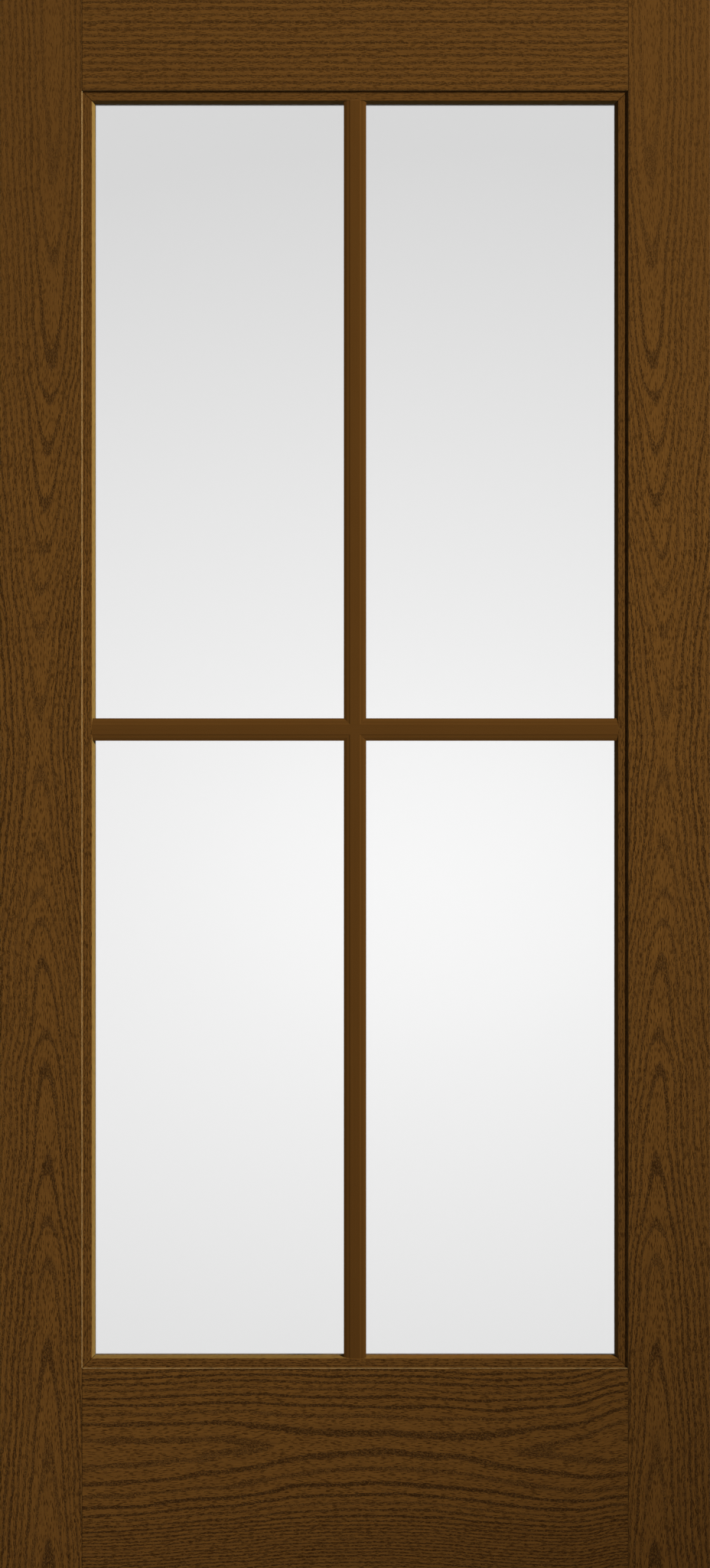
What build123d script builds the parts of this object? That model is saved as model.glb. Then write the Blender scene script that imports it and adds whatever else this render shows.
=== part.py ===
"""Glazed entrance door leaf: moulded fiberglass skins on a timber and foam core, full-height insulated glass,
mitred glazing beads and a two-by-two grid of glazing bars on both faces.

The origin is at the foot of the hinge edge, at mid thickness. +X runs from the hinge edge to the lock edge,
-Y faces outdoors and +Z is up. All lengths are in millimetres.
"""

import os

from build123d import *

# Leaf
LEAF_WIDTH = 908.05
LEAF_HEIGHT = 2006.6
LEAF_THICKNESS = 44.45

# Faces of the stiles and rails that show beside the glazed opening
STILE_FACE = 104.8
TOP_RAIL_FACE = 118.0
BOTTOM_RAIL_FACE = 257.2

# Moulded skins
SKIN_THICKNESS = 2.4
SKIN_EDGE_RADIUS = 1.0
OPENING_CHAMFER = 0.9
JOINT_GROOVE_DEPTH = 0.6

# Core frame between the skins
EDGE_STRIP_WIDTH = 12.7
STILE_WIDTH = 38.1
TOP_RAIL_HEIGHT = 31.75
BOTTOM_RAIL_HEIGHT = 38.1
LINER_THICKNESS = 25.4

# Insulated glass unit
GLASS_SETBACK = 9.525
PANE_THICKNESS = 3.2
UNIT_CLEARANCE = 3.2
SPACER_WIDTH = 7.0
SPACER_INSET = 3.0
SPACER_CORNER_RADIUS = 3.0
SETTING_BLOCK_LENGTH = 100.0

# Glazing beads and the tape that beds them on the glass
BEAD_WIDTH = 16.5
BEAD_STEP = 2.2
BEAD_BEVEL_WIDTH = 4.5
BEAD_LIP = 1.4
TAPE_THICKNESS = 1.6
TAPE_EDGE_MARGIN = 1.0
TAPE_SIGHT_MARGIN = 2.0

# Glazing bars bonded to the glass
BAR_WIDTH = 28.6
BAR_TOP_WIDTH = 12.6
BAR_STEP_WIDTH = 1.2
BAR_STEP_FALL = 0.3
BAR_SHOULDER_FALL = 0.2
BAR_BEVEL_WIDTH = 3.8
BAR_BEVEL_FALL = 0.75

# Room that cutting shapes reach past the faces they cut
CUT_MARGIN = 1.0

# Planes across the thickness, as distances from mid thickness
FACE_Y = LEAF_THICKNESS / 2
CORE_Y = FACE_Y - SKIN_THICKNESS
GLASS_Y = FACE_Y - GLASS_SETBACK
SPACER_Y = GLASS_Y - PANE_THICKNESS

# Heights above the outer glass face
BEAD_RISE = GLASS_SETBACK - BEAD_STEP
BAR_STEP_RISE = BEAD_RISE - BAR_STEP_FALL
BAR_SHOULDER_RISE = BAR_STEP_RISE - BAR_SHOULDER_FALL
BAR_SIDE_RISE = BAR_SHOULDER_RISE - BAR_BEVEL_FALL

# Lines of the joints between stiles and rails, which the skin's chamfer and grooves centre on
JOINT_INSET = OPENING_CHAMFER / 2


class Frame:
    """A rectangle in the plane of the leaf, by the places of its four sides."""

    def __init__(self, left, right, bottom, top):
        self.left = left
        self.right = right
        self.bottom = bottom
        self.top = top

    def inset(self, distance):
        """The frame whose sides lie this much further in."""
        return Frame(
            self.left + distance,
            self.right - distance,
            self.bottom + distance,
            self.top - distance,
        )

    @property
    def width(self):
        return self.right - self.left

    @property
    def height(self):
        return self.top - self.bottom

    @property
    def centre(self):
        return ((self.left + self.right) / 2, (self.bottom + self.top) / 2)


LEAF = Frame(0, LEAF_WIDTH, 0, LEAF_HEIGHT)
FACE_OPENING = Frame(STILE_FACE, LEAF_WIDTH - STILE_FACE, BOTTOM_RAIL_FACE, LEAF_HEIGHT - TOP_RAIL_FACE)
OPENING = FACE_OPENING.inset(OPENING_CHAMFER)
SIGHT = OPENING.inset(BEAD_WIDTH)
UNIT = OPENING.inset(UNIT_CLEARANCE)
SPACER_OUTER = UNIT.inset(SPACER_INSET)
SPACER_INNER = SPACER_OUTER.inset(SPACER_WIDTH)
TAPE_OUTER = UNIT.inset(TAPE_EDGE_MARGIN)
TAPE_INNER = SIGHT.inset(-TAPE_SIGHT_MARGIN)
LINER_OUTER = OPENING.inset(-LINER_THICKNESS)
CORE = Frame(
    EDGE_STRIP_WIDTH + STILE_WIDTH,
    LEAF_WIDTH - EDGE_STRIP_WIDTH - STILE_WIDTH,
    BOTTOM_RAIL_HEIGHT,
    LEAF_HEIGHT - TOP_RAIL_HEIGHT,
)


def save(piece, label):
    """Labels a finished piece and writes it to its own file."""
    piece.part.label = label
    export_step(piece.part, f"parts/{label}.step")


def draw_frame(frame, mode=Mode.ADD):
    """Draws a frame's rectangle in the sketch that is open, on a plane that looks along Y."""
    with Locations(frame.centre):
        Rectangle(frame.width, frame.height, mode=mode)


def panel(frame, outer_y, thickness, hole=None):
    """A flat piece in the plane of the leaf, from its outdoor face inwards, with or without a hole."""
    with BuildPart() as piece:
        with BuildSketch(Plane.XZ.offset(outer_y - thickness)):
            draw_frame(frame)
            if hole:
                draw_frame(hole, Mode.SUBTRACT)
        extrude(amount=thickness)
    return piece


def core_block(left, right, bottom, top):
    """A plain block of the core, as deep as the space between the skins."""
    return panel(Frame(left, right, bottom, top), CORE_Y, 2 * CORE_Y)


def outdoor_skin():
    """The moulded sheet with its opening, eased outer edges and grooves where rails meet stiles."""
    sheet = panel(LEAF, FACE_Y, SKIN_THICKNESS, OPENING)
    with BuildPart() as skin:
        add(sheet.part)
        face = skin.faces().sort_by(Axis.Y)[0]
        chamfer(face.inner_wires()[0].edges(), OPENING_CHAMFER)
        face = skin.faces().sort_by(Axis.Y)[0]
        fillet(face.outer_wire().edges().filter_by(Axis.Z), SKIN_EDGE_RADIUS)
        for joint_x in (FACE_OPENING.left + JOINT_INSET, FACE_OPENING.right - JOINT_INSET):
            for foot, length in (
                (LEAF.bottom, FACE_OPENING.bottom - LEAF.bottom),
                (FACE_OPENING.top, LEAF.top - FACE_OPENING.top),
            ):
                with BuildSketch(Plane.XY.offset(foot)):
                    with BuildLine():
                        Polyline(
                            (joint_x - JOINT_INSET, -FACE_Y),
                            (joint_x + JOINT_INSET, -FACE_Y),
                            (joint_x, JOINT_GROOVE_DEPTH - FACE_Y),
                            close=True,
                        )
                    make_face()
                extrude(amount=length, mode=Mode.SUBTRACT)
    return skin


def bead_points():
    """Section of a bead, as (distance in from the opening's edge, height above the glass)."""
    return [
        (0, TAPE_THICKNESS),
        (BEAD_WIDTH, TAPE_THICKNESS),
        (BEAD_WIDTH, TAPE_THICKNESS + BEAD_LIP),
        (BEAD_WIDTH - BEAD_BEVEL_WIDTH, BEAD_RISE),
        (0, BEAD_RISE),
    ]


def cope_points():
    """The bead's section carried on past its top, its foot and its back, to scribe a bar's end to it."""
    bevel_depth = BEAD_RISE - TAPE_THICKNESS - BEAD_LIP
    overrun = CUT_MARGIN * BEAD_BEVEL_WIDTH / bevel_depth
    return [
        (-CUT_MARGIN, -CUT_MARGIN),
        (BEAD_WIDTH, -CUT_MARGIN),
        (BEAD_WIDTH, TAPE_THICKNESS + BEAD_LIP),
        (BEAD_WIDTH - BEAD_BEVEL_WIDTH - overrun, BEAD_RISE + CUT_MARGIN),
        (-CUT_MARGIN, BEAD_RISE + CUT_MARGIN),
    ]


def bar_points():
    """Half the section of a glazing bar, as (distance from its centre line, height above the glass)."""
    top = BAR_TOP_WIDTH / 2
    edge = BAR_WIDTH / 2
    return [
        (0, BEAD_RISE),
        (top, BEAD_RISE),
        (top + BAR_STEP_WIDTH, BAR_STEP_RISE),
        (edge - BAR_BEVEL_WIDTH, BAR_SHOULDER_RISE),
        (edge, BAR_SIDE_RISE),
        (edge, 0),
        (0, 0),
    ]


def section(points, plane):
    """A closed section, drawn on its plane."""
    with BuildSketch(plane) as drawn:
        with BuildLine():
            Polyline(*points, close=True)
        make_face()
    return drawn.sketch


def section_plane(origin, inward, along):
    """A plane across a bead or bar on the outdoor glass: local X points inward along the glass, and the
    normal runs along the piece."""
    return Plane(origin=(origin[0], -GLASS_Y, origin[1]), x_dir=inward, z_dir=along)


def section_heights(points, plane):
    """Turns heights above the glass the way that the plane's local Y runs, so that they stand outdoors."""
    outward = -1 if plane.y_dir.Y > 0 else 1
    return [(across, height * outward) for across, height in points]


# The four sides of the opening: a corner where the run starts, the way in to the glass and the way along
SIDES = {
    "hinge_side": ((OPENING.left, OPENING.bottom), (1, 0, 0), (0, 0, 1), OPENING.height),
    "lock_side": ((OPENING.right, OPENING.bottom), (-1, 0, 0), (0, 0, 1), OPENING.height),
    "bottom": ((OPENING.left, OPENING.bottom), (0, 0, 1), (1, 0, 0), OPENING.width),
    "top": ((OPENING.left, OPENING.top), (0, 0, -1), (1, 0, 0), OPENING.width),
}


def outdoor_bead(corner, inward, along, run):
    """One bead along a side of the opening, mitred at both ends."""
    plane = section_plane(corner, inward, along)
    start = Vector(corner[0], 0, corner[1])
    end = start + Vector(*along) * run
    with BuildPart() as bead:
        extrude(section(section_heights(bead_points(), plane), plane), amount=run)
        split(bisect_by=Plane(origin=start, z_dir=Vector(*along) - Vector(*inward)), keep=Keep.TOP)
        split(bisect_by=Plane(origin=end, z_dir=Vector(*along) + Vector(*inward)), keep=Keep.BOTTOM)
    return bead


def scribe_to_bead(side, reach):
    """Cuts a bar's end to the bead of one side, over a stretch centred on the bar."""
    corner, inward, along, run = SIDES[side]
    middle = Vector(corner[0], 0, corner[1]) + Vector(*along) * (run / 2 - reach / 2)
    plane = section_plane((middle.X, middle.Z), inward, along)
    extrude(section(section_heights(cope_points(), plane), plane), amount=reach, mode=Mode.SUBTRACT)


def bar_section(plane):
    """A bar's whole section: one half and its mirror image."""
    with BuildSketch(plane) as drawn:
        with BuildLine():
            Polyline(*section_heights(bar_points(), plane), close=True)
        make_face()
        mirror(about=Plane.YZ)
    return drawn.sketch


BAR_SCRIBE_REACH = BAR_WIDTH + 2 * CUT_MARGIN
CENTRE_X, CENTRE_Z = OPENING.centre


def outdoor_cross_bar():
    """The level bar, in one length from bead to bead."""
    plane = section_plane((OPENING.left, CENTRE_Z), (0, 0, 1), (1, 0, 0))
    with BuildPart() as bar:
        extrude(bar_section(plane), amount=OPENING.width)
        scribe_to_bead("hinge_side", BAR_SCRIBE_REACH)
        scribe_to_bead("lock_side", BAR_SCRIBE_REACH)
    return bar


def outdoor_upright_bar(foot, head, bead_side, cross_bar):
    """An upright bar from the level bar to a bead, scribed to both."""
    plane = section_plane((CENTRE_X, foot), (1, 0, 0), (0, 0, 1))
    with BuildPart() as bar:
        extrude(bar_section(plane), amount=head - foot)
        scribe_to_bead(bead_side, BAR_SCRIBE_REACH)
        add(cross_bar.part, mode=Mode.SUBTRACT)
    return bar


def spacer_frame():
    """The bent spacer that keeps the two panes apart, with rounded outer and inner corners."""
    ring = panel(SPACER_OUTER, SPACER_Y, 2 * SPACER_Y, SPACER_INNER)
    with BuildPart() as spacer:
        add(ring.part)
        fillet(spacer.edges().filter_by(Axis.Y), SPACER_CORNER_RADIUS)
    return spacer


def setting_block(middle):
    """A block that carries the glass unit on the bottom liner."""
    half = SETTING_BLOCK_LENGTH / 2
    return panel(Frame(middle - half, middle + half, OPENING.bottom, UNIT.bottom), GLASS_Y, 2 * GLASS_Y)


def core_pieces():
    """Pieces at the middle of the thickness, which are the same seen from both faces."""
    yield "hinge_edge_strip", core_block(LEAF.left, EDGE_STRIP_WIDTH, LEAF.bottom, LEAF.top)
    yield "hinge_stile", core_block(EDGE_STRIP_WIDTH, CORE.left, LEAF.bottom, LEAF.top)
    yield "lock_stile", core_block(CORE.right, LEAF.right - EDGE_STRIP_WIDTH, LEAF.bottom, LEAF.top)
    yield "lock_edge_strip", core_block(LEAF.right - EDGE_STRIP_WIDTH, LEAF.right, LEAF.bottom, LEAF.top)
    yield "bottom_rail", core_block(CORE.left, CORE.right, LEAF.bottom, CORE.bottom)
    yield "top_rail", core_block(CORE.left, CORE.right, CORE.top, LEAF.top)
    yield "foam_core", panel(CORE, CORE_Y, 2 * CORE_Y, LINER_OUTER)
    yield "liner_hinge_side", core_block(LINER_OUTER.left, OPENING.left, LINER_OUTER.bottom, LINER_OUTER.top)
    yield "liner_lock_side", core_block(OPENING.right, LINER_OUTER.right, LINER_OUTER.bottom, LINER_OUTER.top)
    yield "liner_bottom", core_block(OPENING.left, OPENING.right, LINER_OUTER.bottom, OPENING.bottom)
    yield "liner_top", core_block(OPENING.left, OPENING.right, OPENING.top, LINER_OUTER.top)
    yield "setting_block_hinge_side", setting_block(UNIT.left + UNIT.width / 4)
    yield "setting_block_lock_side", setting_block(UNIT.right - UNIT.width / 4)
    yield "spacer_frame", spacer_frame()


def outdoor_pieces():
    """Pieces of the outdoor face, each of which has a mirror image indoors."""
    cross_bar = outdoor_cross_bar()
    half_top = BAR_TOP_WIDTH / 2
    yield "skin", outdoor_skin()
    yield "pane", panel(UNIT, GLASS_Y, PANE_THICKNESS)
    yield "tape", panel(TAPE_OUTER, GLASS_Y + TAPE_THICKNESS, TAPE_THICKNESS, TAPE_INNER)
    for side, (corner, inward, along, run) in SIDES.items():
        yield f"bead_{side}", outdoor_bead(corner, inward, along, run)
    yield "cross_bar", cross_bar
    yield "upper_bar", outdoor_upright_bar(CENTRE_Z + half_top, OPENING.top, "top", cross_bar)
    yield "lower_bar", outdoor_upright_bar(OPENING.bottom, CENTRE_Z - half_top, "bottom", cross_bar)


def main():
    os.makedirs("parts", exist_ok=True)
    for name, piece in core_pieces():
        save(piece, name)
    for name, piece in outdoor_pieces():
        save(piece, f"exterior_{name}")
        with BuildPart() as indoor:
            mirror(piece.part, about=Plane.XZ)
        save(indoor, f"interior_{name}")


main()
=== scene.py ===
"""Finish of a glazed fiberglass entrance door leaf: oak skins, mitred beads, bars, glass and edges."""

import math

import bmesh
import bpy
from bpy.props import FloatProperty, FloatVectorProperty, PointerProperty
from mathutils import Matrix, Vector


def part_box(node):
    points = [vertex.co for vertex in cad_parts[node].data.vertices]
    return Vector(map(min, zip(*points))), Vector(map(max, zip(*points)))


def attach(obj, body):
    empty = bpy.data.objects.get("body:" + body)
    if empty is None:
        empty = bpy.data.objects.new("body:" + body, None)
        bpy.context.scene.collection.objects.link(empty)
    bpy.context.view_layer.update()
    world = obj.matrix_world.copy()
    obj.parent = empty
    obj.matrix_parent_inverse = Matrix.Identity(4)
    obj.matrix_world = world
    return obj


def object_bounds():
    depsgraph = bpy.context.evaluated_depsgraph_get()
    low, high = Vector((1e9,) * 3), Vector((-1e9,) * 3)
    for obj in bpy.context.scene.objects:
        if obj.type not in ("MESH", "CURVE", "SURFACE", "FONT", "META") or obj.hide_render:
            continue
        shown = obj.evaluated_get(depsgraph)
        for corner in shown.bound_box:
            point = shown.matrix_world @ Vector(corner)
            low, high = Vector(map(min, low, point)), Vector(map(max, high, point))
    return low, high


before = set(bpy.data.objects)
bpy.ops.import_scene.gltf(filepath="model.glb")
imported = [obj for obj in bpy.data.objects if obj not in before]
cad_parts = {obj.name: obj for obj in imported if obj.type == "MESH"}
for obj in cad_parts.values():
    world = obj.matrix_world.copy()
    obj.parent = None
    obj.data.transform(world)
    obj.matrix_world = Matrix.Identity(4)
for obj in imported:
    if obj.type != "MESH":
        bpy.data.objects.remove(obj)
CAD_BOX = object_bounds()

bl_info = {
    "name": "Glazed Door Leaf",
    "version": (1, 0, 0),
    "blender": (4, 5, 0),
    "location": "View3D > Sidebar > Door",
    "description": "Finishes a glazed fiberglass door leaf and sets it on a pale stage",
    "category": "Material",
}

# Places on the leaf, in millimetres, read from the frame
MM = 1000.0
LEAF_LOW, LEAF_HIGH = (corner * MM for corner in CAD_BOX)
LEAF_WIDTH = LEAF_HIGH.x - LEAF_LOW.x
LEAF_HEIGHT = LEAF_HIGH.z - LEAF_LOW.z
LEAF_MIDDLE_X = (LEAF_LOW.x + LEAF_HIGH.x) / 2
FACE_DEPTH = LEAF_HIGH.y
OPENING_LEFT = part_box("exterior_bead_hinge_side")[0].x * MM
OPENING_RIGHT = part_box("exterior_bead_lock_side")[1].x * MM
OPENING_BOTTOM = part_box("exterior_bead_bottom")[0].z * MM
OPENING_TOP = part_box("exterior_bead_top")[1].z * MM
OPENING_MIDDLE_Z = (OPENING_BOTTOM + OPENING_TOP) / 2
OPENING_HALF_WIDTH = (OPENING_RIGHT - OPENING_LEFT) / 2
OPENING_HALF_HEIGHT = (OPENING_TOP - OPENING_BOTTOM) / 2
BEAD_FLAT_DEPTH = -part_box("exterior_bead_top")[0].y * MM

# The joint between stile and rail runs just outside the line of the opening's side, in millimetres
JOINT_SETBACK = 0.45
JOINT_HALF_WIDTH = 0.75
JOINT_HALF_SPAN = OPENING_HALF_WIDTH + JOINT_SETBACK

# Figure of the stiles, in millimetres and rings: cathedral tips above and below the eye, the arch across
# the stile, and the line of its heart
STILE_EYE = 1056.0
TIPS_ABOVE_EYE = (37, 140, 193, 241, 305, 374, 439, 485, 617, 730)
TIPS_BELOW_EYE = (37, 126, 190, 227, 277, 372, 414, 536, 612, 660, 772, 906)
STILE_RINGS = 13.0
RINGS_AT_HEAD = 10.45
CREST = 0.18
ARCH_FROM, ARCH_TO, ARCH_RINGS = -70.0, 60.0, 9.0
STILE_ARCH = (
    (-70, 7.4), (-45, 4.4), (-30, 2.4), (-19, 1.1), (-9, 0.25), (0, 0),
    (9, 0.25), (16, 0.85), (22, 1.6), (35, 3.6), (60, 7.6))
ARCH_HEART, ARCH_SIDE = 9.0, 24.0
HEART_INSET = 50.0
HEART_SWAY = 20.0
HEART_WANDER = 10.0
LOCK_SIDE_INSET = 8.0
HEART_LINE = ((0.0, 0.6), (0.3, 0.5), (0.5, 0.05), (0.7, 0.5), (0.9, 0.95), (1.0, 0.9))

# Heights between which the stiles' grain grows fainter, and the height whose grain the top rail takes
FAINT_GRAIN = (1300.0, 1850.0)
TOP_RAIL_GRAIN = 1600.0

# Share of golden tint on the slopes of the beads, a painted highlight and painted light that differs from
# bead to bead as the light would fall on each slope, and the span over which the bottom bead changes
HIGHLIGHT_HINGE_SIDE = 1.0
HIGHLIGHT_LOCK_SIDE = 0.3
HIGHLIGHT_TOP = 1.0
HIGHLIGHT_BOTTOM_HINGE_END = 0.8
HIGHLIGHT_BOTTOM_LOCK_END = 0.1
HIGHLIGHT_CHANGE = (380.0, 540.0)

# Painted shade: the upright bead of the lock side is stained a little darker, standing for the shadow that
# the skin's step casts on it
LOCK_SIDE_SHADE = 0.16

# Figure of the rails: two long level loops on the bottom rail, plain level lines on the top rail
BOTTOM_HEART = 146.0
BOTTOM_SWAY = 20.0
BOTTOM_HEART_LINE = (
    (0.0, 0.1), (0.12, 0.1), (0.32, 0.55), (0.52, 0.8), (0.79, 0.35), (0.89, 1.0), (1.0, 1.0))
BOTTOM_DEPTH = 2.0
BOTTOM_LOOPS = ((0.0, 0.2), (0.12, 0.3), (0.32, 0.5), (0.52, 0.94), (0.79, 0.5), (0.89, 0.15), (1.0, 0.0))
BOTTOM_FROM, BOTTOM_TO, BOTTOM_RINGS = -170.0, 130.0, 24.0
BOTTOM_ARCH = (
    (-170, 23.6), (-146, 18.0), (-122, 12.4), (-103, 8.2), (-86, 5.5), (-64, 3.2), (-37, 1.5), (-14, 0.4),
    (0, 0), (14, 0.4), (37, 1.6), (58, 3.3), (78, 5.4), (98, 8.0), (130, 12.5))
BOTTOM_NEAR, BOTTOM_FAR = 50.0, 110.0
BOTTOM_BOLDNESS = 1.08
TOP_HEART = 2300.0

# Dark band of each ring: its share of the ring, how far noise shifts it, and how it rises, fades and stains
STILE_HEART_BAND, RAIL_HEART_BAND, SIDE_BAND, BEAD_BAND = 0.36, 0.45, 0.58, 0.5
STILE_HEART_WOBBLE, RAIL_HEART_WOBBLE, SIDE_WOBBLE = 0.45, 0.75, 1.0
BOLDNESS = 0.95
BAND_RISE, BAND_FADE = 0.15, 0.65
FAINTEST_BAND = 0.6
BAND_STAIN = 0.78

# Patterns in the oak, in millimetres along and across the grain
RING_SWAY, RING_SWAY_DEPTH = (70.0, 22.0), 0.8
RING_JAG, RING_JAG_DEPTH = (9.0, 2.4), 0.35
STREAK, STREAK_SHARE = (170.0, 6.0), 0.35
FIBRE, FIBRE_SHARE = (22.0, 0.9), 0.8
SPECK, FAINTEST_SPECK = (2.6, 1.4), 0.25
WANDER = (150.0, 10.0)

# Spans of noise values that patterns use, the slant that hides the noise's lattice, and its roughness
CLOUD = (0.3, 0.7)
FIBRE_SPAN = (0.38, 0.62)
SPECK_SPAN = (0.43, 0.55)
SHEAR = 0.618
NOISE_ROUGHNESS = 0.55

# Depths at which patterns read the noise, so that none repeats another
WANDER_LAYER, JAG_LAYER, OPEN_PORE_LAYER, STREAK_LAYER = 3.0, 5.0, 9.0, 13.0
RING_PORE_LAYER, SPECK_LAYER, FIBRE_LAYER = 17.0, 23.0, 29.0
LOCK_STILE_LAYER, RAIL_LAYER = 37.0, 11.0
LEVEL_BEAD_LAYER, LOCK_BEAD_LAYER = 7.0, 3.0
LOCK_SIDE_SHIFT = 50.0
STROKE_SHIFT = 7.3

# Pores: the cell round each as shares of its size, how much of the cell it fills, and its depth of stain
PORE_CELL_LENGTH, PORE_CELL_WIDTH = 1.4, 1.1
OPEN_PORE_REACH, OPEN_PORE_LEAST, OPEN_PORE_STAIN = 0.33, 0.1, 0.95
RING_PORE_REACH, RING_PORE_LEAST, RING_PORE_STAIN = 0.5, 0.5, 0.8
RING_PORE_LENGTH, RING_PORE_WIDTH = 0.35, 1.1
STROKE_DRAW, FULLEST_STROKE = (0.25, 0.75), 1.1
STROKE_EDGE = (-0.05, 0.01)

# What is left of the grain under the golden tint of the eased edges and bead slopes, a painted highlight that
# is partly stain thinned by wear at the edges, and at the head of the leaf
HIGHLIGHT_AND_WEAR_GRAIN = 0.3
HEAD_PALENESS, HEAD_GRAIN = 0.4, 0.65

# Eased edges, slopes and mitres, in millimetres, with the finish's sheen and roughness
ARRIS_FALL = (0.05, 0.3)
SLOPE_FALL = (0.1, 0.6)
MITRE_LINE, MITRE_STAIN = (0.4, 1.0), 0.8
SHEEN_LEVEL = 0.15
SKIN_ROUGHNESS, ARRIS_ROUGHNESS = (0.5, 0.68), 0.9
BEAD_ROUGHNESS = (0.42, 0.62)
RING_RELIEF = 0.5

# Bars: streaks and clouds in millimetres along and across the bar, their shares, and the finish
BAR_STREAK, BAR_STREAK_SHARE = (240.0, 2.4), 0.7
BAR_CLOUD, BAR_CLOUD_SHARE = (90.0, 40.0), 0.3
BAR_SPAN, BAR_STAIN = (0.3, 0.75), 0.12
BAR_ROUGHNESS, BAR_RELIEF = (0.42, 0.52), 0.02

# Glass: its index, and the haze of wipe marks with their size in millimetres
GLASS_IOR = 1.5
GLASS_WIPE, GLASS_HAZE = (160.0, 60.0), 0.012

# Spacer: rolled lines and the dust in its vent slots, with sizes in millimetres
ROLLED_LINE, ROLLED_LINE_STAIN = (80.0, 0.35), 0.25
SPACER_ROUGHNESS = (0.3, 0.45)
SLOT_DUST, SLOT_DUST_SPAN, SLOT_DUST_SHARE = (0.8, 0.8), (0.35, 0.7), 0.2
SLOT_ROUGHNESS = 0.7
SLOT_SIDES, SLOT_RADIUS = 10, 0.5

# Seals: the grain in millimetres, its slant, dark tone and relief, and the roughness
TAPE_GRAIN, TAPE_ROUGHNESS = 1.2, 0.55
BLOCK_GRAIN, BLOCK_ROUGHNESS = 2.0, 0.65
SEAL_SLANT = (0.7, 0.4)
SEAL_DARK, SEAL_RELIEF, SEAL_ROUGHENING = 0.55, 0.03, 0.12

# Edge strips: sway, lines and pores of straight hardwood, in millimetres along and across the grain
HARDWOOD_SWAY, HARDWOOD_SWAY_DEPTH = (260.0, 24.0), 9.0
HARDWOOD_LINE, HARDWOOD_LINE_SPAN, HARDWOOD_LINE_STAIN = (120.0, 2.2), (0.42, 0.66), 0.7
HARDWOOD_PORE, HARDWOOD_PORE_SPAN, HARDWOOD_PORE_STAIN = (7.0, 0.6), (0.58, 0.7), 0.8
HARDWOOD_SLANT, HARDWOOD_ROUGHNESS, HARDWOOD_RELIEF = 0.3, (0.48, 0.6), 0.05

# Stiles: the wander of the plies and their fibres, in millimetres, and the glue line as a share of a ply
PLY_WANDER, PLY_WANDER_DEPTH, PLY_STAIN = (18.0, 9.0), 1.2, 0.35
GLUE_LINE, GLUE_STAIN, GLUE_RELIEF = (0.4, 0.5), 0.9, 0.08
PLY_FIBRE, PLY_FIBRE_SPAN, PLY_FIBRE_STAIN, PLY_FIBRE_RELIEF = (30.0, 0.7), (0.4, 0.7), 0.25, 0.06
PLY_ROUGHNESS = (0.6, 0.78)

# Flecks of the rails, liners and core: length, width and height in millimetres, and finer flecks among them
COMPOSITE_FLECK = (4.0, 2.0, 0.08)
LINER_FLECK = (60.0, 3.0, 0.05)
FOAM_FLECK = (3.0, 3.0, 0.15)
FINE_FLECK, FINE_FLECK_SLANT = 5, 0.5
COARSE_SHARE, FINE_SHARE = 0.6, 0.4
FLECK_SPAN, FLECK_ROUGHNESS = (0.36, 0.66), (0.62, 0.85)

# Floor in metres: its size, where it fades into the backdrop, its bounced light and glow, and its mottle
FLOOR_RADIUS = 7.0
FLOOR_FADE = (1.2, 4.0)
FLOOR_BOUNCE = (0.57, 0.52, 0.49)
FLOOR_GLOW = 0.30
FLOOR_SIDES = 96
FLOOR_MOTTLE, FLOOR_MOTTLE_TONE = (0.6, 0.6), 0.97
FLOOR_ROUGHNESS = 0.9

# Backdrop: the middle of its glow as a direction, and the fall of its level away from there
GLOW_DIRECTION = (0.0068, -0.0089)
GLOW_WIDTH = 1.4
GLOW_REACH = 0.067
GLOW_CURVE = ((0.0, 1.0), (0.16, 0.97), (0.25, 0.935), (0.58, 0.83), (1.0, 0.70))

# Lamps, with places, distances and sizes in metres
KEY_DIRECTION = (2.15, -1.0, 1.4)
KEY_DISTANCE = 14.0
KEY_RADIUS = 0.45
KEY_CONE = math.radians(17.5)
KEY_AIM = 1.65
TOP_LIGHT_PLACE, TOP_LIGHT_AIM = (0.45, -1.9, 3.6), (0.45, 0, 1.6)
TOP_LIGHT_SIZE = (1.8, 0.8)
BACK_LIGHT_PLACE, BACK_LIGHT_SIZE = (-1.5, 3.0, 2.6), 2.0
FLOOR_SHADOW_SPREAD = math.radians(8.0)

# Picture: its pixels, the camera's sensor in millimetres, the share of the leaf's width that it shows,
# and how far the camera sees in metres
PHOTO_WIDTH, PHOTO_HEIGHT = 928, 2048
SENSOR = 36.0
PICTURE_CROP = 0.9985
SIGHT_LIMIT = 100.0


def paint(red, green, blue):
    """Linear colour of a paint given as display values from 0 to 255."""
    shares = (value / 255 for value in (red, green, blue))
    return tuple(s / 12.92 if s <= 0.04045 else ((s + 0.055) / 1.055) ** 2.4 for s in shares)


def opaque(colour):
    """The colour with full opacity."""
    return (*colour, 1.0)


def colour_setting(name, description, default):
    """A colour that the user can change."""
    return FloatVectorProperty(
        name=name, description=description, default=default, subtype="COLOR", size=3, min=0, max=1)


def length_setting(name, description, default):
    """A length that the user can change, in metres."""
    return FloatProperty(
        name=name, description=description, default=default, min=0, unit="LENGTH", precision=5)


def level_setting(name, description, default, unit="NONE"):
    """A plain number or a power that the user can change."""
    return FloatProperty(name=name, description=description, default=default, min=0, unit=unit)


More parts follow.
